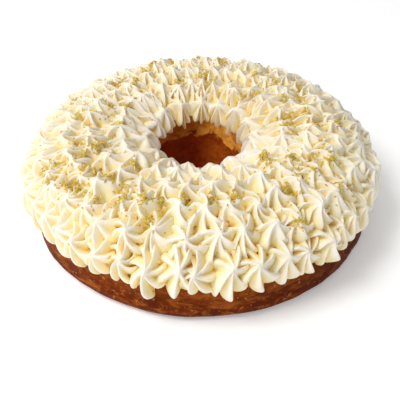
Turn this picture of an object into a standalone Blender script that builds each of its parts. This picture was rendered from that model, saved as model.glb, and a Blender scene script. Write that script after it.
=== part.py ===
"""Lemon ring cake: a golden sponge ring with buttercream stars piped over its top and flanks.

Units are metres, +Z up. The origin is the centre of the hole at the level of the flat base.
Two solids: the sponge, a turned ring, and the buttercream, one mass of piped stars that
follows the sponge from its outer flank, over the crest and into the hole.
"""

import math

import bmesh
import bpy
import numpy as np
from mathutils import Vector
from mathutils.geometry import delaunay_2d_cdt

MM = 0.001

# ---- sponge ring, millimetres -------------------------------------------------
R_OUT = 124.5        # widest radius, low on the outer wall
Z_WIDEST = 9.0       # height of that widest ring
R_CREST = 78.0       # radius of the crest circle
H_SPONGE = 59.0      # height of the crest
N_OUT = 2.25         # roundness of the outer shoulder
R_IN = 35.5          # radius of the hole's wall
Z_IN = 38.0          # where the wall starts to roll over into the crest
N_IN = 2.4           # roundness of the inner shoulder
FOOT_OUT = 8.5       # how far the foot tucks in under the outer wall
FOOT_IN = 4.5        # the same at the hole
RING_SEGMENTS = 60
ARC_RINGS = 11       # rings over the crest, from wall to wall

# ---- buttercream --------------------------------------------------------------
GAP = 0.5            # clearance between cream and sponge
BASE = 2.4           # thickness of the cream between the stars
RIDGES = 6           # ridges that the star nozzle leaves; hand piping merges or splits one here and there
GROOVE = 0.20        # how much shorter the petals are in a groove, as a share of the radius
DEPTH = 0.40         # depth of the grooves between the petals, as a share of the height
TWIST = 27.0         # turn of the petals from the tip outwards, degrees
HANG = 0.16          # how much further the lowest petals reach down the side
CLOSER = 0.20        # the far side is piped with more and smaller stars than the near one
EDGE_STEPS = 180     # points along each scalloped edge

# One entry for each ring of stars, from the outer flank to the hole:
# height or radius that places its centre, how many, petal radius around and across the ring,
# star height, and how far the tip is pulled towards the hole.
ROWS = (
    dict(z=38.6, side="out", count=57, around=13.6, across=15.4, tall=13.2, pull=2.0),
    dict(r=106.0, side="out", count=49, around=13.6, across=15.0, tall=13.6, pull=1.0),
    dict(r=92.0, side="out", count=43, around=13.4, across=14.8, tall=14.2, pull=0.5),
    dict(r=76.5, side="in", count=37, around=13.0, across=14.8, tall=14.2, pull=0.0),
    dict(r=61.0, side="in", count=30, around=11.6, across=17.6, tall=12.4, pull=1.0),
    dict(r=46.0, side="in", count=17, around=10.6, across=16.8, tall=10.8, pull=3.5),
)
SEED = 11


def superellipse(angle, centre, reach, n):
    """One quarter of a superellipse: (r, z) at an angle from its side, 0, to its top, 90 degrees."""
    c, s = max(math.cos(angle), 0.0), max(math.sin(angle), 0.0)
    return centre[0] + reach[0] * c ** (2 / n), centre[1] + reach[1] * s ** (2 / n)


def arc_point(share):
    """The sponge's upper outline: 0 at the widest ring, 1 at the top of the hole's wall."""
    angle = share * math.pi
    if angle <= math.pi / 2:
        return superellipse(
            angle, (R_CREST, Z_WIDEST), (R_OUT - R_CREST, H_SPONGE - Z_WIDEST), N_OUT
        )
    return superellipse(
        math.pi - angle, (R_CREST, Z_IN), (R_IN - R_CREST, H_SPONGE - Z_IN), N_IN
    )


class Arc:
    """The sponge's upper outline by its length in millimetres, with its outward normal.
    It carries on straight down the hole's wall, where the innermost petals hang."""

    def __init__(self):
        points = [arc_point(i / 720) for i in range(721)]
        points += [(R_IN, Z_IN - d) for d in range(1, 9)]
        self.p = np.array(points)
        step = np.hypot(*np.diff(self.p, axis=0).T)
        self.s = np.concatenate([[0.0], np.cumsum(step)])
        tangent = np.gradient(self.p, self.s, axis=0)
        width = 9
        kernel = np.ones(width) / width
        padded = np.pad(tangent, ((width // 2, width // 2), (0, 0)), mode="edge")
        tangent = np.stack(
            [np.convolve(padded[:, k], kernel, mode="valid") for k in (0, 1)], axis=1
        )
        tangent /= np.hypot(*tangent.T)[:, None]
        self.n = np.stack([tangent[:, 1], -tangent[:, 0]], axis=1)

    def at(self, s):
        s = min(max(s, 0.0), self.s[-1])
        return tuple(
            float(np.interp(s, self.s, column))
            for column in (self.p[:, 0], self.p[:, 1], self.n[:, 0], self.n[:, 1])
        )

    def find(self, side, r=None, z=None):
        """The length at which the outline reaches this radius or height on its outer or inner side."""
        crest = int(self.p[:, 1].argmax())
        part = slice(0, crest + 1) if side == "out" else slice(crest, len(self.s))
        column, value = (0, r) if r is not None else (1, z)
        i = int(np.abs(self.p[part, column] - value).argmin())
        return float(self.s[part][i])

    def place(self, theta, s, h):
        """The point at this turn, length along the outline and height off the sponge, in metres."""
        r, z, nr, nz = self.at(s)
        r, z = r + h * nr, z + h * nz
        return Vector((r * math.cos(theta), r * math.sin(theta), z)) * MM


ARC = Arc()


def turned(share, closer):
    """The turn at which a share of a row has been piped, from the near side, -Y, round."""
    angle = 2 * math.pi * share
    for _ in range(20):
        angle = 2 * math.pi * share + closer * math.sin(angle)
    return angle - math.pi / 2


def stars():
    """Every star: centre (turn, length), radii, height, ridges, rotation and the tip's lean. The
    unevenness of hand piping comes from a seeded generator."""
    rng = np.random.default_rng(SEED)
    found = []
    for k, row in enumerate(ROWS):
        s0 = ARC.find(row["side"], r=row.get("r"), z=row.get("z"))
        pitch = 2 * math.pi / row["count"]
        inner = k == len(ROWS) - 1
        closer = 0.0 if inner else CLOSER
        for i in range(row["count"]):
            wobble = rng.uniform(-1, 1, 9)
            theta = turned((i + 0.5 * (k % 2)) / row["count"], closer)
            room = ((1 - closer) / (1 + closer * math.sin(theta))) ** 0.55
            found.append(
                dict(
                    row=k,
                    theta=theta + (0.08 if inner else 0.17) * pitch * wobble[0],
                    s=s0 + (0.8 if inner else 1.2 if k == 0 else 2.3) * wobble[1],
                    around=row["around"] * (1 + 0.10 * wobble[2]) * room,
                    across=row["across"] * (1 + 0.10 * wobble[3]) * room**0.5,
                    tall=row["tall"] * (1 + 0.10 * wobble[4]) * room**0.15,
                    spin=math.pi / RIDGES * (0.1 if inner else 0.3 if k == 4 else 0.6) * wobble[5],
                    lean=(2.6 * wobble[6], row["pull"] + 2.2 * wobble[7]),
                    ridges=RIDGES if k >= 4 else RIDGES + int(round(1.3 * wobble[8])),
                    twist=math.radians(4.0 if k >= 4 else TWIST),
                )
            )
    return found


def groove(phi, ridges):
    """0 on a ridge and 1 in a groove of the nozzle's star."""
    turn = (phi * ridges / (2 * math.pi)) % 1.0
    return 1 - abs(2 * turn - 1)


def crest(u):
    """Height along a petal's crest, from 1 at the tip to 0 at its rounded end."""
    u = min(max(u, 0.0), 1.0)
    return (0.62 + 0.38 * (1 - u)) * math.sqrt(max(0.0, 1 - u**6))


def rise(u, deep):
    """Height of a star at a share u of the way to its outline, on a petal (0) or in a groove (1)."""
    reach = u * (1 - GROOVE * deep)
    return max(crest(u) - DEPTH * min(reach / 0.5, 1.0) * deep, 0.06)


def star_point(star, u, phi):
    """A point of a star: how far round (mm), how far across (mm), and its height (mm)."""
    deep = groove(phi, star["ridges"])
    reach = u * (1 - GROOVE * deep)
    v = rise(u, deep)
    angle = phi + star["spin"] + star["twist"] * (reach - 0.30)
    lift = v**1.4
    x = star["around"] * reach * math.cos(angle) + star["lean"][0] * lift
    y = star["across"] * reach * math.sin(angle) + star["lean"][1] * lift
    if star["row"] == 0 and y < 0:
        y *= 1 + HANG * min(-y / 14.0, 1.0)
    return x, y, star["tall"] * v


def star_height(star, x, y):
    """The star's height over a spot x round and y across from its centre, 0 outside it."""
    if star["row"] == 0 and y < 0:
        y /= 1 + HANG * min(-y / 15.5, 1.0)
    u, lift, v = 0.5, 0.4, 0.5
    for _ in range(6):
        a = (x - star["lean"][0] * lift) / star["around"]
        b = (y - star["lean"][1] * lift) / star["across"]
        reach = math.hypot(a, b)
        phi = math.atan2(b, a) - star["spin"] - star["twist"] * (reach - 0.30)
        deep = groove(phi, star["ridges"])
        u = reach / (1 - GROOVE * deep)
        v = rise(u, deep)
        lift = 0.5 * lift + 0.5 * v**1.4
    return star["tall"] * v if u < 1 else 0.0


def turned_difference(a, b):
    return (a - b + math.pi) % (2 * math.pi) - math.pi


class Piping:
    """All stars together, laid out by turn and by length along the outline."""

    def __init__(self):
        self.all = stars()
        for star in self.all:
            star["radius"] = ARC.at(star["s"])[0]

    def near(self, theta, s, skip=None):
        for i, star in enumerate(self.all):
            if i == skip or abs(s - star["s"]) > 22:
                continue
            x = turned_difference(theta, star["theta"]) * star["radius"]
            if abs(x) < 18:
                yield star, x, s - star["s"]

    def height(self, theta, s, skip=None):
        return max(
            (star_height(star, x, y) for star, x, y in self.near(theta, s, skip)),
            default=0.0,
        )

    def edge(self, outer):
        """One scalloped edge as (turn, length): the furthest that any petal reaches at each turn."""
        row = 0 if outer else len(ROWS) - 1
        members = [star for star in self.all if star["row"] == row]
        sign = -1 if outer else 1
        base = np.mean([star["s"] for star in members]) + sign * (6.5 if outer else 8.0)
        points = []
        for i in range(EDGE_STEPS):
            theta = 2 * math.pi * i / EDGE_STEPS
            furthest = base
            for star in members:
                x = turned_difference(theta, star["theta"]) * star["radius"]
                if abs(x) > star["around"]:
                    continue
                for k in range(29):
                    y = sign * (6.0 + 0.5 * k)
                    if star_height(star, x, y) > 0 and sign * (
                        star["s"] + y - furthest
                    ) > 0:
                        furthest = star["s"] + y
            points.append((theta, furthest))
        reach = np.array([p[1] for p in points])
        reach = (np.roll(reach, 1) + 2 * reach + np.roll(reach, -1)) / 4
        return [(points[i][0], float(reach[i])) for i in range(EDGE_STEPS)]


FLAT = 40.0  # inner radius of the unrolled ring, in which the surfaces are triangulated


def flat(theta, s):
    """The unrolled ring: a plane annulus whose radius grows from the hole to the outer edge."""
    radius = FLAT + (ARC.s[-1] - s)
    return Vector((radius * math.cos(theta), radius * math.sin(theta)))


def triangulated(loops, inside, closest, links=()):
    """Triangles over the unrolled ring between two edges, through these (turn, length) points.
    A link is a pair of those points that an edge has to join, such as two points of one ridge.
    Returns the points, the edges' points first, and the triangles."""
    points, flats, index = [], [], {}
    for loop in loops:
        points += loop
        flats += [flat(*p) for p in loop]
    for p in inside:
        here = flat(*p)
        if all((here - other).length > closest for other in flats):
            index[p] = len(points)
            points.append(p)
            flats.append(here)
    edges, start = [], 0
    for loop in loops:
        n = len(loop)
        edges += [(start + i, start + (i + 1) % n) for i in range(n)]
        start += n
    edges += [(index[a], index[b]) for a, b in links if a in index and b in index]
    verts, _, faces, origin, _, _ = delaunay_2d_cdt(flats, edges, [], 0, 1e-6, True)
    first = []
    for vert, sources in zip(verts, origin):
        if sources:
            first.append(sources[0])
        else:  # two links cross here
            first.append(len(points))
            points.append(
                (
                    math.atan2(vert.y, vert.x) % (2 * math.pi),
                    ARC.s[-1] + FLAT - vert.length,
                )
            )
    steps = len(loops[0])

    def distance(loop, centre):
        """How far out this edge lies in the direction of a spot in the unrolled ring."""
        share = math.atan2(centre.y, centre.x) % (2 * math.pi) / (2 * math.pi) * steps
        i = int(share) % steps
        a, b = flats[loop * steps + i], flats[loop * steps + (i + 1) % steps]
        return a.cross(b - a) / centre.normalized().cross(b - a)

    kept = []
    for face in faces:
        centre = sum((verts[i] for i in face), Vector((0, 0))) / 3
        if distance(1, centre) < centre.length < distance(0, centre):
            kept.append(tuple(first[k] for k in face))
    return points, kept


def cream_mesh():
    """The buttercream: stars above, the sponge's own outline below, and two scalloped edges."""
    piping = Piping()
    loops = [piping.edge(True), piping.edge(False)]
    lowest = min(p[1] for p in loops[0])
    highest = max(p[1] for p in loops[1])

    def within(theta, s, margin):
        share = theta % (2 * math.pi) / (2 * math.pi) * EDGE_STEPS
        i = int(share) % EDGE_STEPS
        j = (i + 1) % EDGE_STEPS
        return (
            max(loops[0][i][1], loops[0][j][1]) + margin
            < s
            < min(loops[1][i][1], loops[1][j][1]) - margin
        )

    # Upper side: each star's tip, ridges and grooves, where no other star covers them.
    found, heights, links = {}, {}, []
    for i, star in enumerate(piping.all):
        for arm in range(2 * star["ridges"]):
            phi = math.pi * arm / star["ridges"]
            before = None
            ridge = (0.0, 0.5, 0.9) if star["row"] in (0, 1, len(ROWS) - 1) else (0.0, 0.68)
            for u in ridge if arm % 2 == 0 else (0.0, 0.6):
                x, y, h = star_point(star, u, phi)
                theta, s = star["theta"] + x / star["radius"], star["s"] + y
                p = (theta % (2 * math.pi), s)
                if u == 0:
                    p = found.get(i, p)
                if not within(*p, 1.2) or piping.height(*p, i) > h + 0.3:
                    break
                if u == 0:
                    found[i] = p
                else:
                    found[i, arm, u] = p
                heights[p] = max(h, BASE)
                if before:
                    links.append((before, p))
                before = p
    order = sorted(found, key=lambda key: key[2] if isinstance(key, tuple) else 0.0)
    points, faces = triangulated(loops, [found[k] for k in order], 2.2, links)
    rims = 2 * EDGE_STEPS
    mesh = bmesh.new()
    top = []
    for k, p in enumerate(points):
        if k < rims:
            h = 2.6
        else:
            h = heights.get(p) or max(piping.height(*p), BASE)
        top.append(mesh.verts.new(ARC.place(*p, h)))
    for face in faces:
        mesh.faces.new([top[i] for i in face])

    # Underside: rings in line with the sponge's own, so that the gap between the two stays even.
    rings = [arc_point(i / ARC_RINGS) for i in range(1, ARC_RINGS)]
    under = []
    for r, z in rings:
        s = float(ARC.s[np.hypot(ARC.p[:, 0] - r, ARC.p[:, 1] - z).argmin()])
        if lowest < s < highest:
            for k in range(RING_SEGMENTS):
                theta = 2 * math.pi * k / RING_SEGMENTS
                if within(theta, s, 1.0):
                    under.append((theta, s))
    points, faces = triangulated(loops, under, 1.0)
    bottom = [mesh.verts.new(ARC.place(*p, GAP)) for p in points]
    for face in faces:
        mesh.faces.new([bottom[i] for i in reversed(face)])

    # The rim between the two, along both edges.
    start = 0
    for loop in loops:
        n = len(loop)
        for i in range(n):
            a, b = start + i, start + (i + 1) % n
            mesh.faces.new([top[a], top[b], bottom[b], bottom[a]])
        start += n
    bmesh.ops.triangulate(mesh, faces=[f for f in mesh.faces if len(f.verts) > 3])
    bmesh.ops.recalc_face_normals(mesh, faces=mesh.faces)
    data = bpy.data.meshes.new("buttercream")
    mesh.to_mesh(data)
    mesh.free()
    return data


def finish(name, colour, roughness):
    """A plain material of this colour."""
    material = bpy.data.materials.new(name)
    material.use_nodes = True
    shader = material.node_tree.nodes["Principled BSDF"]
    shader.inputs["Base Color"].default_value = (*colour, 1)
    shader.inputs["Roughness"].default_value = roughness
    shader.inputs["Metallic"].default_value = 0.0
    return material


def sponge(collection):
    """The sponge: a closed outline turned about the ring's axis."""
    outline = [arc_point(1 - i / ARC_RINGS) for i in range(ARC_RINGS + 1)]
    # Down the outer foot, across the flat base and up the hole's wall.
    foot = [
        superellipse(a, (R_OUT - FOOT_OUT, Z_WIDEST), (FOOT_OUT, -Z_WIDEST), 2.2)
        for a in (math.radians(d) for d in (30, 60, 90))
    ]
    hole = [
        superellipse(a, (R_IN + FOOT_IN, FOOT_IN), (-FOOT_IN, -FOOT_IN), 2.0)
        for a in (math.radians(d) for d in (90, 45, 0))
    ]
    outline += foot + hole + [(R_IN, (FOOT_IN + Z_IN) / 2)]
    # The order runs from the hole's shoulder over the crest, down the outside and back inside.
    data = bpy.data.meshes.new("sponge")
    data.from_pydata(
        [(r * MM, 0, z * MM) for r, z in outline],
        [(i, (i + 1) % len(outline)) for i in range(len(outline))],
        [],
    )
    obj = bpy.data.objects.new("sponge", data)
    collection.objects.link(obj)
    screw = obj.modifiers.new("turn", "SCREW")
    screw.axis = "Z"
    screw.angle = 2 * math.pi
    screw.steps = screw.render_steps = RING_SEGMENTS
    screw.use_merge_vertices = True
    screw.merge_threshold = 0.00002
    screw.use_smooth_shade = True
    obj.data.materials.append(finish("golden_crust", (0.42, 0.16, 0.04), 0.5))
    return obj


def buttercream(collection):
    data = cream_mesh()
    data.shade_smooth()
    data.set_sharp_from_angle(angle=math.radians(50))
    obj = bpy.data.objects.new("buttercream", data)
    collection.objects.link(obj)
    obj.data.materials.append(finish("lemon_buttercream", (0.90, 0.79, 0.55), 0.45))
    return obj


def main():
    for old in list(bpy.data.objects):
        bpy.data.objects.remove(old, do_unlink=True)
    collection = bpy.data.collections.new("lemon_ring_cake")
    bpy.context.scene.collection.children.link(collection)
    sponge(collection)
    buttercream(collection)


main()
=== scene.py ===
"""Looks of the lemon ring cake: piped buttercream stars, baked sponge and lemon zest."""

import math
import time

import bmesh
import bpy
import numpy as np
from mathutils import Matrix, Vector
from mathutils.bvhtree import BVHTree


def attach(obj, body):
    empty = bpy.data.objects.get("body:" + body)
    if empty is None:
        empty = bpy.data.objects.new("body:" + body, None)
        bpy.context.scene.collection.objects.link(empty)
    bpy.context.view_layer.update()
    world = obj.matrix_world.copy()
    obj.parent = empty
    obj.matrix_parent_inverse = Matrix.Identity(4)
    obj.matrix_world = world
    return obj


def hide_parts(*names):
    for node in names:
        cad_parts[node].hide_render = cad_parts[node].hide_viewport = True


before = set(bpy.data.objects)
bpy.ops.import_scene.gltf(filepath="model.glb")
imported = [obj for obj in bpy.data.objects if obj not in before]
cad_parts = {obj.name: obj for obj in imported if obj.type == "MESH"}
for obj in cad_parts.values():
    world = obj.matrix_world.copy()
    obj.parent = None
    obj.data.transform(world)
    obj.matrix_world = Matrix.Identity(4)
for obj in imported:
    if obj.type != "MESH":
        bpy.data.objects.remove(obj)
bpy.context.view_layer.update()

STARTED = time.time()
MM = 0.001

# ---- the ring, millimetres: the same outline and the same rows of stars as the CAD part ------------
R_OUT, Z_WIDEST, R_CREST, H_SPONGE, N_OUT = 124.5, 9.0, 78.0, 59.0, 2.25
R_IN, Z_IN, N_IN = 35.5, 38.0, 2.4
FOOT_OUT, FOOT_IN = 8.5, 4.5
RIDGES = 6
ROWS = (
    dict(z=38.6, side="out", count=57, around=13.6, across=15.4, tall=13.2, pull=2.0),
    dict(r=106.0, side="out", count=49, around=13.6, across=15.0, tall=13.6, pull=1.0),
    dict(r=92.0, side="out", count=43, around=13.4, across=14.8, tall=14.2, pull=0.5),
    dict(r=76.5, side="in", count=37, around=13.0, across=14.8, tall=14.2, pull=0.0),
    dict(r=61.0, side="in", count=30, around=11.6, across=17.6, tall=12.4, pull=1.0),
    dict(r=46.0, side="in", count=17, around=10.6, across=16.8, tall=10.8, pull=3.5),
)
CLOSER = 0.20  # the far side was piped with more and smaller stars than the near one
SEED = 11
MOST_TRIANGLES = 194000


def superellipse(angle, centre, reach, n):
    c, s = max(math.cos(angle), 0.0), max(math.sin(angle), 0.0)
    return centre[0] + reach[0] * c ** (2 / n), centre[1] + reach[1] * s ** (2 / n)


def arc_point(share):
    angle = share * math.pi
    if angle <= math.pi / 2:
        return superellipse(
            angle, (R_CREST, Z_WIDEST), (R_OUT - R_CREST, H_SPONGE - Z_WIDEST), N_OUT
        )
    return superellipse(
        math.pi - angle, (R_CREST, Z_IN), (R_IN - R_CREST, H_SPONGE - Z_IN), N_IN
    )


class Arc:
    """The sponge's upper outline by length, with its outward normal."""

    def __init__(self):
        points = [arc_point(i / 720) for i in range(721)]
        points += [(R_IN, Z_IN - d) for d in range(1, 9)]
        self.p = np.array(points)
        step = np.hypot(*np.diff(self.p, axis=0).T)
        self.s = np.concatenate([[0.0], np.cumsum(step)])
        tangent = np.gradient(self.p, self.s, axis=0)
        kernel = np.ones(9) / 9
        padded = np.pad(tangent, ((4, 4), (0, 0)), mode="edge")
        tangent = np.stack(
            [np.convolve(padded[:, k], kernel, mode="valid") for k in (0, 1)], axis=1
        )
        tangent /= np.hypot(*tangent.T)[:, None]
        self.n = np.stack([tangent[:, 1], -tangent[:, 0]], axis=1)

    def at(self, s):
        s = np.clip(s, 0.0, self.s[-1])
        return [
            np.interp(s, self.s, column)
            for column in (self.p[:, 0], self.p[:, 1], self.n[:, 0], self.n[:, 1])
        ]

    def find(self, side, r=None, z=None):
        crest = int(self.p[:, 1].argmax())
        part = slice(0, crest + 1) if side == "out" else slice(crest, len(self.s))
        column, value = (0, r) if r is not None else (1, z)
        i = int(np.abs(self.p[part, column] - value).argmin())
        return float(self.s[part][i])

    def place(self, theta, s, h):
        r, z, nr, nz = self.at(s)
        r, z = r + h * nr, z + h * nz
        return np.stack([r * np.cos(theta), r * np.sin(theta), z], axis=-1) * MM


ARC = Arc()


def turned(share, closer):
    """The turn at which a share of a row has been piped, from the near side round."""
    angle = 2 * math.pi * share
    for _ in range(20):
        angle = 2 * math.pi * share + closer * math.sin(angle)
    return angle - math.pi / 2


def stars():
    """The same seeded layout as the CAD part's."""
    rng = np.random.default_rng(SEED)
    found = []
    for k, row in enumerate(ROWS):
        s0 = ARC.find(row["side"], r=row.get("r"), z=row.get("z"))
        pitch = 2 * math.pi / row["count"]
        inner = k == len(ROWS) - 1
        closer = 0.0 if inner else CLOSER
        for i in range(row["count"]):
            wobble = rng.uniform(-1, 1, 9)
            theta = turned((i + 0.5 * (k % 2)) / row["count"], closer)
            room = ((1 - closer) / (1 + closer * math.sin(theta))) ** 0.55
            found.append(
                dict(
                    row=k,
                    theta=theta + (0.08 if inner else 0.17) * pitch * wobble[0],
                    s=s0 + (0.8 if inner else 1.2 if k == 0 else 2.3) * wobble[1],
                    around=row["around"] * (1 + 0.10 * wobble[2]) * room,
                    across=row["across"] * (1 + 0.10 * wobble[3]) * room**0.5,
                    tall=row["tall"] * (1 + 0.10 * wobble[4]) * room**0.15,
                    spin=math.pi / RIDGES * (0.1 if inner else 0.3 if k == 4 else 0.6) * wobble[5],
                    lean=(2.6 * wobble[6], row["pull"] + 2.2 * wobble[7]),
                    ridges=RIDGES if k >= 4 else RIDGES + int(round(1.3 * wobble[8])),
                )
            )
    for star in found:
        star["radius"] = float(ARC.at(star["s"])[0])
        # finer petals than the CAD part's on the outer rows and around the hole
        if star["row"] < 2:
            star["ridges"] = max(star["ridges"], RIDGES) + 1
        elif star["row"] >= 4:
            star["ridges"] = RIDGES + star["row"] - 3
    return found


# ---- buttercream ----------------------------------------------------------------------------------
# Columns of one ridge: its crest (0), its flanks, and the groove (1), the same on both sides.
FLANK = np.array([0.0, 0.13, 0.26, 0.40, 0.54, 0.72, 1.0])
OFFSETS = np.concatenate([FLANK[:-1], 2 - FLANK[:0:-1]]) / 2  # share of the way to the next ridge
# Crest of a ridge, from the tip outwards: share of the radius, share of the height.
CREST = np.array(
    [
        (0.000, 1.000),
        (0.030, 0.997),
        (0.085, 0.978),
        (0.160, 0.938),
        (0.255, 0.894),
        (0.365, 0.858),
        (0.480, 0.824),
        (0.595, 0.778),
        (0.705, 0.715),
        (0.805, 0.632),
        (0.890, 0.515),
        (0.955, 0.365),
        (1.000, 0.190),
    ]
)
# Rows of the mesh: share of the way to the outline, and how much of the height is left there.
STEPS = (0.03, 0.085, 0.16, 0.25, 0.355, 0.465, 0.575, 0.68, 0.775, 0.86, 0.93, 0.975, 1.0, 1.0, 0.93)
LEFT = (1.0, 1.0, 1.0, 1.0, 1.0, 1.0, 1.0, 1.0, 0.985, 0.94, 0.83, 0.66, 0.40, -0.10, -0.5)
LEVELS = len(STEPS)


def star_surface(star, rng):
    """The points of one closed piped star, in metres, tip first and its hidden centre last."""
    ridges = star["ridges"]
    t = (np.arange(ridges)[:, None] + OFFSETS[None, :]).ravel()
    near = np.round(t)
    w = np.abs(2 * (t - near))  # 0 on a ridge, 1 in a groove
    row = star["row"]
    inner = row == len(ROWS) - 1
    # hand piping: each petal has its own length, direction, height and slant
    radial = row >= len(ROWS) - 2
    long = 1 + (0.07 if inner else 0.14) * rng.uniform(-1, 1, ridges)
    turn = (0.05 if inner else 0.16) * rng.uniform(-1, 1, ridges)
    high = 0.17 * rng.uniform(-1, 1, ridges)
    slant = rng.normal(0.0 if inner else 0.12, 0.07, ridges)
    left, right = np.floor(t).astype(int) % ridges, (np.floor(t).astype(int) + 1) % ridges
    mix = t - np.floor(t)
    blend = mix * mix * (3 - 2 * mix)

    def along(values):
        return values[left] * (1 - blend) + values[right] * blend

    length, offset, height, skew = along(long), along(turn), along(high), along(slant)
    twist = math.radians(rng.normal(4, 7) if radial else rng.normal(42, 18))
    phi = 2 * np.pi * t / ridges + offset
    outline = length * (1 - (0.20 if inner else 0.28 if row == 0 else 0.18) * w**1.5)
    # a rounded crest that drops steeply into a bowl between two of them
    radius = (star["around"] + star["across"]) / 2
    rows = []
    for u, left_over in zip(STEPS, LEFT):
        reach = u * outline
        crest = np.interp(reach / length, CREST[:, 0], CREST[:, 1])
        crest = crest * (1 + height * np.sin(np.pi * np.minimum(reach, 1.0)))
        # the crest keeps its width, so the bowls open up away from the tip
        full = (0.94, 0.90, 0.84, 0.80, 0.76, 0.72)[row]
        edge = np.maximum(0.04 / np.maximum(reach, 0.05), 0.10)
        foot = np.maximum(0.32 / np.maximum(reach, 0.05), full)
        wall = np.clip((w - edge) / (foot - edge), 0, 1)
        side = wall * (0.48 + 0.48 * wall * (3 - 2 * wall)) + 0.04 * w
        deep = (0.54, 0.52, 0.55, 0.58, 0.60, 0.62)[row]
        groove = deep * np.clip((reach - 0.04) / 0.50, 0.0, 1.0) ** 0.8
        v = crest - groove * side
        v = np.where(left_over > 0, np.maximum(v, 0.06) * left_over, left_over * 0.28)
        angle = phi + star["spin"] + twist * (reach - 0.30)
        angle = angle + skew * (1 - side) * min(u / 0.3, 1.0)
        h = star["tall"] * v
        lift = np.maximum(v, 0.0) ** 1.4
        side_on, up_on = np.cos(angle), np.sin(angle)
        if inner:  # the petals that hang into the hole lie side by side, all about as long
            hang = np.clip(up_on / 0.15, 0, 1)
            side_on = np.sign(side_on) * np.abs(side_on) ** (1 + 0.32 * hang)
            up_on = np.sign(up_on) * np.abs(up_on) ** (1 - 0.60 * hang)
        x = star["around"] * reach * side_on + star["lean"][0] * lift
        y = star["across"] * reach * up_on + star["lean"][1] * lift
        rows.append((x, y, h))
    grid = np.array(rows)  # levels, (x, y, h), columns
    x, y, h = grid[:, 0], grid[:, 1], grid[:, 2]
    if row == 0:  # the lowest petals hang a little further down the side
        y = np.where(y < 0, y * (1 + 0.16 * np.clip(-y / 14, 0, 1)), y)
    # a soft, uneven surface
    k = rng.uniform(0.25, 0.6, (4, 2)) * rng.choice([-1, 1], (4, 2))
    p = rng.uniform(0, 2 * np.pi, 4)
    bumps = sum(np.sin(k[i, 0] * x + k[i, 1] * y + p[i]) for i in range(4))
    h = h + 0.16 * bumps * (np.array(LEFT) > 0.5)[:, None]
    theta = star["theta"] + x / star["radius"]
    points = ARC.place(theta, star["s"] + y, h).reshape(-1, 3)
    first = ARC.place(
        np.array([star["theta"] + star["lean"][0] / star["radius"]]),
        np.array([star["s"] + star["lean"][1]]),
        np.array([star["tall"]]),
    )
    last = ARC.place(np.array([star["theta"]]), np.array([star["s"]]), np.array([-3.0]))
    return np.concatenate([first, points, last])


def star_faces(ridges):
    faces = []
    n = len(OFFSETS) * ridges
    for j in range(n):
        a, b = j, (j + 1) % n
        faces.append((0, 1 + a, 1 + b))
        for i in range(LEVELS - 1):
            p, q = 1 + i * n, 1 + (i + 1) * n
            faces.append((p + a, q + a, q + b))
            faces.append((p + a, q + b, p + b))
        p = 1 + (LEVELS - 1) * n
        faces.append((p + a, 1 + LEVELS * n, p + b))
    return np.array(faces)


def joined(shapes, ridges, name):
    """One mesh from the points of several stars."""
    tris, total = [], 0
    for points, n in zip(shapes, ridges):
        tris.append(star_faces(n) + total)
        total += len(points)
    return mesh_from(np.concatenate(shapes), np.concatenate(tris), name)


def mesh_from(points, tris, name):
    data = bpy.data.meshes.new(name)
    data.vertices.add(len(points))
    data.vertices.foreach_set("co", np.asarray(points, np.float32).ravel())
    data.loops.add(3 * len(tris))
    data.loops.foreach_set("vertex_index", np.asarray(tris, np.int32).ravel())
    data.polygons.add(len(tris))
    data.polygons.foreach_set("loop_start", np.arange(0, 3 * len(tris), 3, dtype=np.int32))
    data.update(calc_edges=True)
    data.validate()
    return data


def coords(data):
    co = np.zeros(len(data.vertices) * 3, np.float32)
    data.vertices.foreach_get("co", co)
    return co.reshape(-1, 3).astype(float)


def linked(data, name):
    obj = bpy.data.objects.new(name, data)
    bpy.context.scene.collection.objects.link(obj)
    return obj


def undercoat():
    """The thin layer of cream that the stars are piped onto: it ends behind the first and last rows."""
    first = ARC.find("out", z=ROWS[0]["z"]) - 4.0
    last = ARC.find("in", r=ROWS[-1]["r"]) + 3.0
    s = np.linspace(first, last, 44)
    rise = 2.3 * np.sqrt(np.clip(np.minimum(s - first, last - s) / 7.0, 0, 1)) - 0.1
    outline = np.concatenate([np.stack([s, rise], 1), np.stack([s, np.full(len(s), -2.0)], 1)[::-1]])
    turns = 220
    theta = np.arange(turns) / turns * 2 * np.pi
    points = ARC.place(
        np.repeat(theta, len(outline)), np.tile(outline[:, 0], turns), np.tile(outline[:, 1], turns)
    )
    return mesh_from(points, swept(turns, len(outline)), "undercoat")


def swept(turns, m):
    """Faces of a closed outline of m points carried round a ring in so many turns."""
    tris = []
    i = np.arange(turns)
    for j in range(m):
        k = (j + 1) % m
        a, b = i * m + j, i * m + k
        c, d = ((i + 1) % turns) * m + k, ((i + 1) % turns) * m + j
        tris.append(np.stack([a, d, c], 1))
        tris.append(np.stack([a, c, b], 1))
    return np.concatenate(tris)


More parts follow.
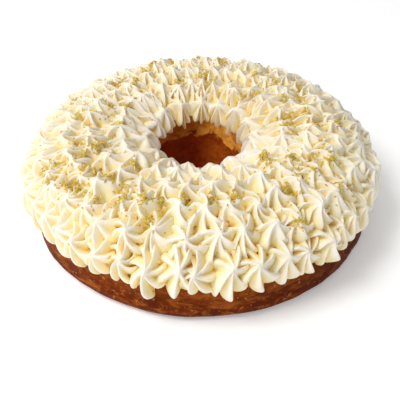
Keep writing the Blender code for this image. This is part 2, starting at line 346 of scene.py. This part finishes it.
def tidy(data):
    """Leaves one closed skin: slivers that hang on by one edge go, and the gaps they leave are closed."""
    mesh = bmesh.new()
    mesh.from_mesh(data)
    for _ in range(5):
        for face in mesh.faces:
            face.tag = False
        stray = []
        for start in mesh.faces:
            if start.tag:
                continue
            start.tag = True
            part, k = [start], 0
            while k < len(part):
                for edge in part[k].edges:
                    if len(edge.link_faces) == 2:
                        for face in edge.link_faces:
                            if not face.tag:
                                face.tag = True
                                part.append(face)
                k += 1
            if len(part) < 500:
                stray += part
        bmesh.ops.delete(mesh, geom=stray, context="FACES")
        crossed = [e for e in mesh.edges if len(e.link_faces) > 2]
        around = {f for e in crossed for v in e.verts for f in v.link_faces}
        bmesh.ops.delete(mesh, geom=list(around), context="FACES")
        bmesh.ops.delete(mesh, geom=[e for e in mesh.edges if not e.link_faces], context="EDGES")
        bmesh.ops.delete(mesh, geom=[v for v in mesh.verts if not v.link_edges], context="VERTS")
        gaps = [e for e in mesh.edges if len(e.link_faces) == 1]
        if not gaps:
            break
        bmesh.ops.holes_fill(mesh, edges=gaps, sides=0)
        bmesh.ops.triangulate(mesh, faces=[f for f in mesh.faces if len(f.verts) > 3])
    bmesh.ops.recalc_face_normals(mesh, faces=mesh.faces)
    print("tidy: gaps", len(gaps), "crossed", len(crossed), "faces", len(mesh.faces))
    mesh.to_mesh(data)
    mesh.free()


def piped_cream():
    """All stars in one mass: those that don't touch share a mesh, and the meshes are united in turn."""
    rng = np.random.default_rng(SEED + 1)
    layout = stars()
    shapes = [star_surface(star, rng) for star in layout]
    centre = [ARC.place(s["theta"], s["s"], 0.0) / MM for s in layout]
    reach = [1.16 * max(s["around"], s["across"]) + 1.5 for s in layout]
    groups = []
    for i in range(len(layout)):
        for group in groups:
            if all(
                np.linalg.norm(centre[i] - centre[j]) > reach[i] + reach[j] for j in group
            ):
                group.append(i)
                break
        else:
            groups.append([i])
    whole = linked(undercoat(), "buttercream_stars")
    for group in groups:
        data = joined([shapes[i] for i in group], [layout[i]["ridges"] for i in group], "stars")
        other = linked(data, "more_stars")
        cut = whole.modifiers.new("unite", "BOOLEAN")
        cut.operation, cut.solver, cut.object = "UNION", "MANIFOLD", other
        bpy.context.view_layer.update()
        graph = bpy.context.evaluated_depsgraph_get()
        result = bpy.data.meshes.new_from_object(whole.evaluated_get(graph))
        whole.modifiers.clear()
        before = len(whole.data.polygons)
        if len(result.polygons) < max(before, len(data.polygons)):
            raise RuntimeError("the union lost stars")
        old, whole.data = whole.data, result
        bpy.data.meshes.remove(old)
        bpy.data.objects.remove(other)
        bpy.data.meshes.remove(data)
    mesh = bmesh.new()
    mesh.from_mesh(whole.data)
    bmesh.ops.remove_doubles(mesh, verts=mesh.verts, dist=0.00004)
    bmesh.ops.dissolve_degenerate(mesh, dist=0.00002, edges=mesh.edges)
    bmesh.ops.triangulate(mesh, faces=[f for f in mesh.faces if len(f.verts) > 3])
    mesh.to_mesh(whole.data)
    mesh.free()
    united = len(whole.data.polygons)
    soft = whole.modifiers.new("soft", "SMOOTH")
    soft.factor, soft.iterations = 0.4, 1
    if united > MOST_TRIANGLES:
        thin = whole.modifiers.new("thin", "DECIMATE")
        thin.ratio = MOST_TRIANGLES / united
    bpy.context.view_layer.update()
    graph = bpy.context.evaluated_depsgraph_get()
    result = bpy.data.meshes.new_from_object(whole.evaluated_get(graph))
    whole.modifiers.clear()
    old, whole.data = whole.data, result
    bpy.data.meshes.remove(old)
    tidy(whole.data)
    whole.data.name = "buttercream_stars"
    print(
        "cream groups",
        len(groups),
        "triangles",
        united,
        len(whole.data.polygons),
        "seconds %.1f" % (time.time() - STARTED),
    )
    return whole


def ring_coordinates(points):
    """(turn, length along the outline, height off it) of points in metres; lengths in millimetres."""
    p = points / MM
    theta = np.arctan2(p[:, 1], p[:, 0])
    r, z = np.hypot(p[:, 0], p[:, 1]), p[:, 2]
    s, h = np.zeros(len(p)), np.zeros(len(p))
    arc, normal = ARC.p[::2], ARC.n[::2]
    for start in range(0, len(p), 20000):
        part = slice(start, start + 20000)
        d = (r[part, None] - arc[None, :, 0]) ** 2 + (z[part, None] - arc[None, :, 1]) ** 2
        i = d.argmin(axis=1)
        s[part] = ARC.s[::2][i]
        h[part] = (r[part] - arc[i, 0]) * normal[i, 0] + (z[part] - arc[i, 1]) * normal[i, 1]
    return theta, s, h


def mark_hollows(obj):
    """Stores how deep each point of the cream lies below the tips around it, from 0 to 1."""
    points = coords(obj.data)
    theta, s, h = ring_coordinates(points)
    step = 1.5
    across = int(ARC.s[-1] / step) + 2
    around = 420
    i = ((theta + np.pi) / (2 * np.pi) * around).astype(int) % around
    j = np.clip((s / step).astype(int), 0, across - 1)
    top = np.full((around, across), -3.0)
    np.maximum.at(top, (i, j), h)
    # spread the highest points over about 5 mm, then soften
    for _ in range(3):
        top = np.maximum.reduce(
            [top, np.roll(top, 1, 0), np.roll(top, -1, 0), np.pad(top, ((0, 0), (1, 0)))[:, :-1], np.pad(top, ((0, 0), (0, 1)))[:, 1:]]
        )
    for _ in range(4):
        top = (2 * top + np.roll(top, 1, 0) + np.roll(top, -1, 0)) / 4
        top[:, 1:-1] = (2 * top[:, 1:-1] + top[:, :-2] + top[:, 2:]) / 4
    depth = np.clip((top[i, j] - h) / 9.0, 0, 1)
    attribute = obj.data.attributes.new("hollow", "FLOAT", "POINT")
    attribute.data.foreach_set("value", depth.astype(np.float32))
    return theta, s, depth


# ---- node helpers ---------------------------------------------------------------------------------
class Nodes:
    def __init__(self, name):
        self.material = bpy.data.materials.new(name)
        self.material.use_nodes = True
        self.tree = self.material.node_tree
        self.shader = self.tree.nodes["Principled BSDF"]
        self.count = 0

    def add(self, kind, **values):
        node = self.tree.nodes.new(kind)
        self.count += 1
        node.location = (-260 * (1 + self.count % 6), 300 - 220 * (self.count // 6))
        for key, value in values.items():
            setattr(node, key, value)
        return node

    def link(self, source, target):
        self.tree.links.new(source, target)

    def coordinate(self):
        return self.add("ShaderNodeTexCoord").outputs["Object"]

    def noise(self, vector, scale, detail=3.0, roughness=0.5, distortion=0.0):
        node = self.add("ShaderNodeTexNoise")
        node.inputs["Scale"].default_value = scale
        node.inputs["Detail"].default_value = detail
        node.inputs["Roughness"].default_value = roughness
        node.inputs["Distortion"].default_value = distortion
        self.link(vector, node.inputs["Vector"])
        return node.outputs["Fac"]

    def voronoi(self, vector, scale, feature="F1", randomness=1.0):
        node = self.add("ShaderNodeTexVoronoi", feature=feature)
        node.inputs["Scale"].default_value = scale
        node.inputs["Randomness"].default_value = randomness
        self.link(vector, node.inputs["Vector"])
        return node

    def math(self, operation, a, b=None, c=None, clamp=False):
        node = self.add("ShaderNodeMath", operation=operation, use_clamp=clamp)
        for i, value in enumerate((a, b, c)):
            if value is None:
                continue
            if isinstance(value, (int, float)):
                node.inputs[i].default_value = value
            else:
                self.link(value, node.inputs[i])
        return node.outputs[0]

    def ramp(self, value, low, high, to_low=0.0, to_high=1.0, smooth=True):
        node = self.add("ShaderNodeMapRange")
        node.interpolation_type = "SMOOTHSTEP" if smooth else "LINEAR"
        node.clamp = True
        self.link(value, node.inputs["Value"])
        for key, number in (
            ("From Min", low),
            ("From Max", high),
            ("To Min", to_low),
            ("To Max", to_high),
        ):
            node.inputs[key].default_value = number
        return node.outputs["Result"]

    def mix(self, factor, a, b):
        node = self.add("ShaderNodeMix", data_type="RGBA")
        if isinstance(factor, (int, float)):
            node.inputs[0].default_value = factor
        else:
            self.link(factor, node.inputs[0])
        for socket, value in ((node.inputs[6], a), (node.inputs[7], b)):
            if isinstance(value, tuple):
                socket.default_value = (*value, 1)
            else:
                self.link(value, socket)
        return node.outputs[2]

    def bump(self, height, strength, distance, normal=None):
        node = self.add("ShaderNodeBump")
        node.inputs["Strength"].default_value = strength
        node.inputs["Distance"].default_value = distance
        self.link(height, node.inputs["Height"])
        if normal is not None:
            self.link(normal, node.inputs["Normal"])
        return node.outputs["Normal"]

    def attribute(self, name):
        node = self.add("ShaderNodeAttribute", attribute_name=name)
        return node


def srgb(r, g, b):
    """A colour given as it looks on a screen, 0 to 255, as the linear values that a shader takes."""
    return tuple(
        c / 12.92 if c <= 0.04045 else ((c + 0.055) / 1.055) ** 2.4
        for c in (r / 255, g / 255, b / 255)
    )


def cream_material():
    n = Nodes("lemon_buttercream")
    where = n.coordinate()
    broad = n.noise(where, 45, 2)
    hollow = n.attribute("hollow").outputs["Fac"]
    ivory = n.mix(n.ramp(broad, 0.35, 0.65), srgb(251, 241, 225), srgb(250, 238, 219))
    # painted shade: the deeper a point lies in a hollow, the warmer and more saturated its colour, standing
    # in for the shade and warm bounce light there
    cream_shade_and_stain = n.mix(n.ramp(hollow, 0.18, 0.64), ivory, srgb(250, 235, 186))
    cream_shade_and_stain = n.mix(n.ramp(hollow, 0.70, 0.97), cream_shade_and_stain, srgb(245, 210, 118))
    juice = n.math("MULTIPLY", n.attribute("juice").outputs["Fac"], n.ramp(n.noise(where, 420, 3), 0.25, 0.6))
    cream_shade_and_stain = n.mix(n.math("MULTIPLY", juice, 0.85), cream_shade_and_stain, srgb(233, 202, 112))
    # dark brown spots at random in the deepest hollows, where the stars meet
    pit = n.math("MULTIPLY", n.ramp(hollow, 0.76, 0.92), n.ramp(n.noise(where, 260, 2), 0.57, 0.63))
    cream_shade_and_stain = n.mix(n.math("MULTIPLY", pit, 0.80), cream_shade_and_stain, srgb(150, 88, 26))
    n.link(cream_shade_and_stain, n.shader.inputs["Base Color"])
    fine = n.noise(where, 900, 3, 0.6)
    n.link(n.ramp(fine, 0.3, 0.7, 0.40, 0.55), n.shader.inputs["Roughness"])
    n.shader.inputs["Subsurface Weight"].default_value = 0.6
    n.shader.inputs["Subsurface Radius"].default_value = (1.0, 0.80, 0.45)
    n.shader.inputs["Subsurface Scale"].default_value = 0.003
    n.shader.inputs["Specular IOR Level"].default_value = 0.35
    pits = n.voronoi(where, 420).outputs["Distance"]
    hole = n.ramp(pits, 0.10, 0.22, -1.0, 0.0)
    small = n.noise(where, 330, 4, 0.6)
    height = n.math("ADD", n.math("MULTIPLY", small, 0.8), n.math("MULTIPLY", hole, 0.25))
    n.link(n.bump(height, 0.25, 0.0004), n.shader.inputs["Normal"])
    return n.material


def sponge_material():
    n = Nodes("golden_crust")
    where = n.coordinate()
    xyz = n.add("ShaderNodeSeparateXYZ")
    n.link(where, xyz.inputs[0])
    x, y, z = xyz.outputs
    r = n.math("SQRT", n.math("ADD", n.math("MULTIPLY", x, x), n.math("MULTIPLY", y, y)))
    broad = n.noise(where, 38, 4, 0.6)
    middle = n.noise(where, 130, 4, 0.65, 0.4)
    fine = n.noise(where, 600, 3, 0.6)
    squash = n.add("ShaderNodeMapping")
    squash.inputs["Scale"].default_value = (0.6, 0.6, 1.6)
    n.link(where, squash.inputs["Vector"])
    streak = n.noise(squash.outputs[0], 95, 4, 0.6, 0.6)
    speck = n.noise(where, 300, 3, 0.6)
    crust = n.mix(n.ramp(broad, 0.36, 0.66), srgb(92, 30, 1), srgb(114, 44, 6))
    crust = n.mix(n.math("MULTIPLY", n.ramp(streak, 0.48, 0.68), 0.72), crust, srgb(176, 96, 34))
    crust = n.mix(n.math("MULTIPLY", n.ramp(streak, 0.48, 0.30), 0.62), crust, srgb(82, 22, 1))
    # painted light: the side turns lighter above about 12 to 26 mm, standing in for light on the upper flank
    high = n.ramp(n.math("ADD", z, n.math("MULTIPLY", n.math("SUBTRACT", streak, 0.5), 0.016)), 0.012, 0.026)
    crust = n.mix(n.math("MULTIPLY", high, 0.45), crust, srgb(164, 84, 28))
    # painted shade: the side darker towards the base, below about 15 mm, where shade falls near the floor
    low = n.ramp(n.math("ADD", z, n.math("MULTIPLY", broad, 0.008)), 0.015, 0.004)
    crust = n.mix(n.math("MULTIPLY", low, 0.60), crust, srgb(76, 20, 1))
    crust = n.mix(n.math("MULTIPLY", n.ramp(middle, 0.52, 0.66), 0.45), crust, srgb(182, 104, 40))
    crust = n.mix(n.math("MULTIPLY", n.ramp(middle, 0.46, 0.32), 0.30), crust, srgb(72, 18, 1))
    # painted shade: the right side of the ring darker, away from the light
    crust = n.mix(n.ramp(x, 0.01, 0.09, 0.0, 0.6), crust, srgb(66, 16, 0))
    crust = n.mix(n.math("MULTIPLY", n.ramp(speck, 0.61, 0.69), 0.60), crust, srgb(206, 136, 66))
    # hole: red-brown below, a pale golden band with a ragged edge under the cream; painted light and shade
    # across it, as the light falls in from the left
    inside = n.ramp(r, 0.043, 0.040)
    wall = n.mix(n.ramp(middle, 0.35, 0.65), srgb(106, 28, 1), srgb(128, 42, 4))
    # painted light: a lighter, redder copy of the wall, mixed in towards the right where the light from the
    # left falls
    lit_wall_painted = n.mix(n.ramp(middle, 0.35, 0.65), srgb(140, 56, 8), srgb(176, 88, 22))
    wall = n.mix(n.ramp(n.math("ADD", x, n.math("MULTIPLY", broad, 0.016)), 0.004, 0.026), wall, lit_wall_painted)
    # the band is the crust's own lighter top; painted light: it reaches about 9 mm lower on the right, where
    # the light falls in
    band = n.ramp(
        n.math(
            "ADD",
            n.math("ADD", z, n.math("MULTIPLY", n.math("SUBTRACT", middle, 0.5), 0.022)),
            n.ramp(x, 0.004, 0.024, 0.0, 0.009),
        ),
        0.0355,
        0.0380,
    )
    gold = n.mix(n.ramp(middle, 0.38, 0.62), srgb(196, 118, 32), srgb(244, 172, 70))
    gold = n.mix(n.math("MULTIPLY", n.ramp(fine, 0.55, 0.68), 0.5), gold, srgb(242, 186, 96))
    # painted shade: the band darker on its left side, which faces away from the light
    gold = n.mix(n.ramp(x, -0.006, 0.010, 0.75, 0.0), gold, srgb(128, 54, 8))
    wall = n.mix(band, wall, gold)
    colour = n.mix(inside, crust, wall)
    pores = n.voronoi(where, 520)
    pit = n.ramp(pores.outputs["Distance"], 0.05, 0.24)
    some = n.ramp(n.noise(where, 240, 2), 0.48, 0.60)
    dark = n.math("MULTIPLY", n.math("SUBTRACT", 1.0, pit), some)
    colour = n.mix(n.math("MULTIPLY", dark, 0.7), colour, srgb(70, 24, 6))
    n.link(colour, n.shader.inputs["Base Color"])
    n.link(n.ramp(middle, 0.3, 0.7, 0.42, 0.66), n.shader.inputs["Roughness"])
    n.shader.inputs["Specular IOR Level"].default_value = 0.03
    height = n.math("ADD", n.math("MULTIPLY", middle, 1.0), n.math("MULTIPLY", fine, 0.35))
    height = n.math("SUBTRACT", height, n.math("MULTIPLY", dark, 0.9))
    n.link(n.bump(height, 0.55, 0.0009), n.shader.inputs["Normal"])
    return n.material


def zest_material():
    n = Nodes("lemon_peel")
    where = n.coordinate()
    own = n.attribute("shade").outputs["Fac"]
    fine = n.noise(where, 1500, 2)
    colour = n.mix(n.ramp(own, 0.0, 0.35, smooth=False), srgb(248, 216, 98), srgb(234, 206, 92))
    colour = n.mix(n.ramp(own, 0.35, 0.75, smooth=False), colour, srgb(204, 190, 84))
    colour = n.mix(n.ramp(own, 0.75, 1.0, smooth=False), colour, srgb(220, 162, 60))
    colour = n.mix(n.math("MULTIPLY", n.ramp(fine, 0.4, 0.7), 0.30), colour, srgb(200, 170, 76))
    n.link(colour, n.shader.inputs["Base Color"])
    n.link(n.ramp(fine, 0.3, 0.7, 0.35, 0.55), n.shader.inputs["Roughness"])
    n.shader.inputs["Subsurface Weight"].default_value = 0.15
    n.shader.inputs["Subsurface Radius"].default_value = (1.0, 0.8, 0.2)
    n.shader.inputs["Subsurface Scale"].default_value = 0.0008
    n.link(n.bump(fine, 0.4, 0.0002), n.shader.inputs["Normal"])
    return n.material


# ---- sponge ---------------------------------------------------------------------------------------
def waves(rng, count, low, high):
    """A smooth random field over points in millimetres: a sum of plane waves."""
    directions = rng.normal(size=(count, 3))
    directions /= np.linalg.norm(directions, axis=1)[:, None]
    scale = 2 * np.pi / rng.uniform(low, high, count)
    phase = rng.uniform(0, 2 * np.pi, count)

    def field(p):
        total = np.zeros(len(p))
        for d, k, f in zip(directions, scale, phase):
            total += np.sin(p @ (d * k) + f)
        return total / math.sqrt(count)

    return field


def baked_sponge():
    """The sponge, turned finely from the CAD part's own outline, then made uneven."""
    outline = [arc_point(i / 150) for i in range(151)]
    outline += [(R_IN, Z_IN - k) for k in np.linspace(2, Z_IN - FOOT_IN - 0.2, 26)]
    outline += [
        superellipse(math.radians(d), (R_IN + FOOT_IN, FOOT_IN), (-FOOT_IN, -FOOT_IN), 2.0)
        for d in (0, 15, 30, 45, 60, 75, 90)
    ]
    outline += [(r, 0.0) for r in np.linspace(R_IN + FOOT_IN + 4, R_OUT - FOOT_OUT - 4, 14)]
    outline += [
        superellipse(math.radians(d), (R_OUT - FOOT_OUT, Z_WIDEST), (FOOT_OUT, -Z_WIDEST), 2.2)
        for d in (90, 80, 70, 60, 50, 40, 30, 20, 10)
    ]
    outline = np.array(outline)
    turns = 288
    theta = np.arange(turns) / turns * 2 * np.pi
    r, z = outline[:, 0], outline[:, 1]
    forward = np.roll(outline, -1, 0) - np.roll(outline, 1, 0)
    forward /= np.hypot(*forward.T)[:, None]
    normal = np.stack([forward[:, 1], -forward[:, 0]], 1)
    points = np.stack(
        [
            (r[None] * np.cos(theta)[:, None]),
            (r[None] * np.sin(theta)[:, None]),
            np.repeat(z[None], turns, 0),
        ],
        -1,
    ).reshape(-1, 3)
    out = np.stack(
        [
            normal[None, :, 0] * np.cos(theta)[:, None],
            normal[None, :, 0] * np.sin(theta)[:, None],
            np.repeat(normal[None, :, 1], turns, 0),
        ],
        -1,
    ).reshape(-1, 3)
    rng = np.random.default_rng(SEED + 2)
    broad, middle, small = waves(rng, 9, 35, 80), waves(rng, 12, 9, 20), waves(rng, 16, 3.0, 6.5)
    rise = 0.45 * broad(points) + 0.16 * middle(points) + 0.07 * small(points)
    flat = np.clip(points[:, 2] / 5.0, 0, 1)  # the base stays flat
    points = points + out * (rise * flat)[:, None]
    points[:, 2] = np.maximum(points[:, 2], 0.0)
    tris = swept(turns, len(outline))
    data = mesh_from(points * MM, tris, "sponge_ring")
    data.shade_smooth()
    return linked(data, "sponge_ring")


# ---- zest -----------------------------------------------------------------------------------------
def shred(length, width, thick, bend, curl, steps=5):
    """A curved strip of peel with a triangular section, thin at both ends, around its own origin."""
    rows = []
    for i in range(steps + 1):
        t = i / steps
        swell = math.sin(math.pi * (0.12 + 0.76 * t)) ** 0.6
        along = (t - 0.5) * length
        side = bend * (1 - (2 * t - 1) ** 2)
        up = curl * (2 * t - 1) ** 2
        w = width * swell / 2
        rows += [(along, side - w, up), (along, side + w, up), (along, side, up + thick * swell)]
    faces = []
    for i in range(steps):
        a, b = 3 * i, 3 * (i + 1)
        for p, q in ((0, 1), (1, 2), (2, 0)):
            faces += [(a + p, b + p, b + q), (a + p, b + q, a + q)]
    end = 3 * steps
    faces += [(0, 1, 2), (end, end + 2, end + 1)]
    return np.array(rows), np.array(faces)


def zest_heaps(theta, s_of, depth):
    """Where the zest lies in little heaps: turn, length along the outline, size."""
    rng = np.random.default_rng(SEED + 4)
    heaps = []
    for turn, s in HEAPS_SEEN:
        turn, s = hollow_near(math.radians(turn), s, 5.0, theta, s_of, depth)
        heaps.append((turn, s, rng.uniform(0.45, 1.15)))
    for _ in range(34):
        turn = rng.uniform(-math.pi, math.pi)
        s = rng.normal(76, 15)
        if 44 < s < 106 and not (-115 < math.degrees(turn) < -60):
            turn, s = hollow_near(turn, s, 6.0, theta, s_of, depth)
            heaps.append((turn, s, rng.uniform(0.35, 1.1)))
    return heaps


def hollow_near(turn, s, within, theta, s_of, depth):
    r = float(ARC.at(s)[0])
    gap = (theta - turn + math.pi) % (2 * math.pi) - math.pi
    near = np.nonzero((gap * r) ** 2 + (s_of - s) ** 2 < within**2)[0]
    if not len(near):
        return turn, s
    best = near[int(depth[near].argmax())]
    return float(theta[best]), float(s_of[best])


def stain(obj, heaps, theta, s_of, depth):
    """Stores where the zest's juice has coloured the cream, from 0 to 1."""
    wet = np.zeros(len(theta))
    for turn, s, size in heaps:
        r = float(ARC.at(s)[0])
        gap = ((theta - turn + math.pi) % (2 * math.pi) - math.pi) * r
        away = (gap**2 + (s_of - s) ** 2) / (2.9 * math.sqrt(size)) ** 2
        wet = np.maximum(wet, np.exp(-away) * size)
    wet = np.clip(wet, 0, 1) * np.clip(depth * 1.6, 0, 1)
    attribute = obj.data.attributes.new("juice", "FLOAT", "POINT")
    attribute.data.foreach_set("value", wet.astype(np.float32))


def strewn_zest(cream, heaps, theta, s_of, depth):
    """Fine lemon zest: little heaps in the hollows between the stars, and single shreds around them."""
    rng = np.random.default_rng(SEED + 3)
    tree = BVHTree.FromPolygons(
        [Vector(p) for p in coords(cream.data)],
        [tuple(p.vertices) for p in cream.data.polygons],
    )

    spots = []
    for turn, s, size in heaps:
        r = float(ARC.at(s)[0])
        for _ in range(int(rng.integers(34, 52) * size)):
            spread = 1.9 * math.sqrt(size)
            spots.append(
                (turn + rng.normal(0, spread) / r, s + rng.normal(0, spread), rng.uniform(0.8, 1.2))
            )
        for _ in range(int(rng.integers(6, 12))):
            spots.append((turn + rng.normal(0, 7) / r, s + rng.normal(0, 6), rng.uniform(0.5, 0.9)))
    for _ in range(420):
        turn, s = rng.uniform(-math.pi, math.pi), rng.normal(68, 22)
        if rng.random() < 0.6:
            turn, s = hollow_near(turn, s, 4.0, theta, s_of, depth)
        spots.append((turn, s, rng.uniform(0.45, 0.9)))
    points, tris, shades, total = [], [], [], 0
    for turn, s, size in spots:
        if not 24 < s < 112:
            continue
        foot = Vector(ARC.place(turn, s, 0.0))
        above = Vector(ARC.place(turn, s, 30.0))
        down = (foot - above).normalized()
        hit, normal, _, _ = tree.ray_cast(above, down, 0.034)
        if hit is None:
            continue
        if normal.dot(down) > 0:
            normal = -normal
        up = (normal * 0.75 - down * 0.6).normalized()
        side = up.orthogonal().normalized()
        side.rotate(Matrix.Rotation(rng.uniform(0, 2 * math.pi), 3, up))
        side = (side + up * rng.uniform(-0.25, 0.35)).normalized()
        across = up.cross(side).normalized()
        up = side.cross(across)
        long = rng.uniform(1.1, 3.4) * size
        body, faces = shred(
            long,
            rng.uniform(0.7, 1.25),
            rng.uniform(0.45, 0.8),
            rng.uniform(-0.22, 0.22) * long,
            rng.uniform(-0.05, 0.18) * long,
        )
        frame_ = np.array([side, across, up])
        lift = rng.uniform(0.0, 0.7)
        where = np.array(hit) / MM + np.array(normal) * lift
        points.append((body @ frame_ + where) * MM)
        tris.append(faces + total)
        shades.append(np.full(len(body), rng.uniform(0, 1)))
        total += len(body)
    data = mesh_from(np.concatenate(points), np.concatenate(tris), "lemon_zest")
    attribute = data.attributes.new("shade", "FLOAT", "POINT")
    attribute.data.foreach_set("value", np.concatenate(shades).astype(np.float32))
    data.shade_smooth()
    data.set_sharp_from_angle(angle=math.radians(40))
    print("zest shreds", len(points), "triangles", len(data.polygons))
    return linked(data, "lemon_zest")


# Heaps of zest that show on the near side: turn in degrees, length along the outline in millimetres.
HEAPS_SEEN = (
    (158, 55), (173, 70), (166, 88), (-160, 92), (-167, 70), (-156, 68), (-156, 79), (-146, 70),
    (-156, 59), (-157, 50), (-150, 52), (-145, 54), (-142, 59), (-139, 52), (-136, 58), (-138, 72),
    (-131, 75), (-124, 80), (-122, 72), (-132, 92), (-152, 72), (156, 94), (48, 76), (36, 62),
    (28, 82), (13, 86), (-2, 86), (-7, 96), (6, 78), (-36, 77), (-36, 70), (-29, 62), (-38, 62),
    (-55, 68), (-53, 65), (-42, 66), (-30, 51), (-27, 74), (4, 70), (102, 62), (102, 86), (92, 57),
    (82, 66), (86, 79), (130, 86), (76, 54), (67, 60), (62, 52), (54, 52), (56, 78), (50, 97),
    (-106, 56), (-86, 69), (-74, 69), (-93, 71), (-110, 64), (-104, 68), (-119, 58), (-128, 57),
)


# ---- stage ----------------------------------------------------------------------------------------
def stage():
    scene = bpy.context.scene
    scene.view_settings.view_transform = "Standard"
    scene.view_settings.look = "None"
    scene.view_settings.exposure = 0.0
    scene.view_settings.gamma = 1.0
    scene.cycles.use_denoising = True
    scene.cycles.max_bounces = 10
    scene.cycles.diffuse_bounces = 8
    scene.cycles.glossy_bounces = 3

    half = 3.0
    data = bpy.data.meshes.new("floor")
    data.from_pydata(
        [(-half, -half, 0), (half, -half, 0), (half, half, 0), (-half, half, 0)], [], [(0, 1, 2, 3)]
    )
    floor = linked(data, "floor")
    n = Nodes("pale_floor")
    tone = n.noise(n.coordinate(), 3, 2)
    n.link(n.mix(tone, (0.95, 0.95, 0.95), (0.97, 0.97, 0.97)), n.shader.inputs["Base Color"])
    n.shader.inputs["Emission Color"].default_value = (1, 1, 1, 1)
    n.shader.inputs["Emission Strength"].default_value = 0.24
    n.shader.inputs["Roughness"].default_value = 0.8
    n.shader.inputs["Specular IOR Level"].default_value = 0.1
    data.materials.append(n.material)

    world = bpy.data.worlds.new("soft_studio")
    scene.world = world
    world.use_nodes = True
    tree = world.node_tree
    background = tree.nodes["Background"]
    where = tree.nodes.new("ShaderNodeTexCoord")
    split = tree.nodes.new("ShaderNodeSeparateXYZ")
    fade = tree.nodes.new("ShaderNodeMapRange")
    tree.links.new(where.outputs["Generated"], split.inputs[0])
    front = tree.nodes.new("ShaderNodeMath")
    front.operation = "MULTIPLY"
    front.inputs[1].default_value = 0.22
    tree.links.new(split.outputs["Y"], front.inputs[0])
    side = tree.nodes.new("ShaderNodeMath")
    side.operation = "MULTIPLY_ADD"
    side.inputs[1].default_value = 0.97
    tree.links.new(split.outputs["X"], side.inputs[0])
    tree.links.new(front.outputs[0], side.inputs[2])
    tree.links.new(side.outputs[0], fade.inputs["Value"])
    for key, value in (("From Min", -1.0), ("From Max", 1.0), ("To Min", 1.02), ("To Max", 0.06)):
        fade.inputs[key].default_value = value
    tree.links.new(fade.outputs["Result"], background.inputs["Strength"])
    background.inputs["Color"].default_value = (1.0, 1.0, 1.0, 1)

    def softbox(name, place, aim, size, energy, colour=(1, 1, 1)):
        light = bpy.data.lights.new(name, "AREA")
        light.shape, light.size, light.size_y = "RECTANGLE", size[0], size[1]
        light.energy, light.color = energy, colour
        obj = bpy.data.objects.new(name, light)
        scene.collection.objects.link(obj)
        obj.location = place
        obj.rotation_euler = (Vector(aim) - Vector(place)).to_track_quat("-Z", "Y").to_euler()
        return obj

    softbox("key", (-0.78, -0.38, 1.34), (0, 0, 0.04), (0.6, 0.6), 12.0)

    camera = bpy.data.cameras.new("camera")
    camera.sensor_width = 36.0
    camera.sensor_fit = "HORIZONTAL"
    camera.lens = 634.35 / 400 * 36.0
    camera.clip_start, camera.clip_end = 0.01, 20
    eye = bpy.data.objects.new("camera", camera)
    scene.collection.objects.link(eye)
    distance, rise = 471.06, math.radians(35.48)
    eye.location = (-0.63 * MM, -distance * math.cos(rise) * MM, (40 + distance * math.sin(rise)) * MM)
    eye.rotation_euler = (math.radians(90 - 39.51), 0, 0)
    scene.camera = eye


def build():
    cream = piped_cream()
    theta, s, depth = mark_hollows(cream)
    heaps = zest_heaps(theta, s, depth)
    stain(cream, heaps, theta, s, depth)
    cream.data.shade_smooth()
    cream.data.set_sharp_from_angle(angle=math.radians(65))
    cream.data.materials.clear()
    cream.data.materials.append(cream_material())
    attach(cream, "root")
    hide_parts("buttercream")

    ring = baked_sponge()
    ring.data.materials.append(sponge_material())
    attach(ring, "root")
    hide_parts("sponge")

    zest = strewn_zest(cream, heaps, theta, s, depth)
    zest.data.materials.append(zest_material())
    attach(zest, "root")


build()
stage()
bpy.context.view_layer.update()
print("scene seconds %.1f" % (time.time() - STARTED))
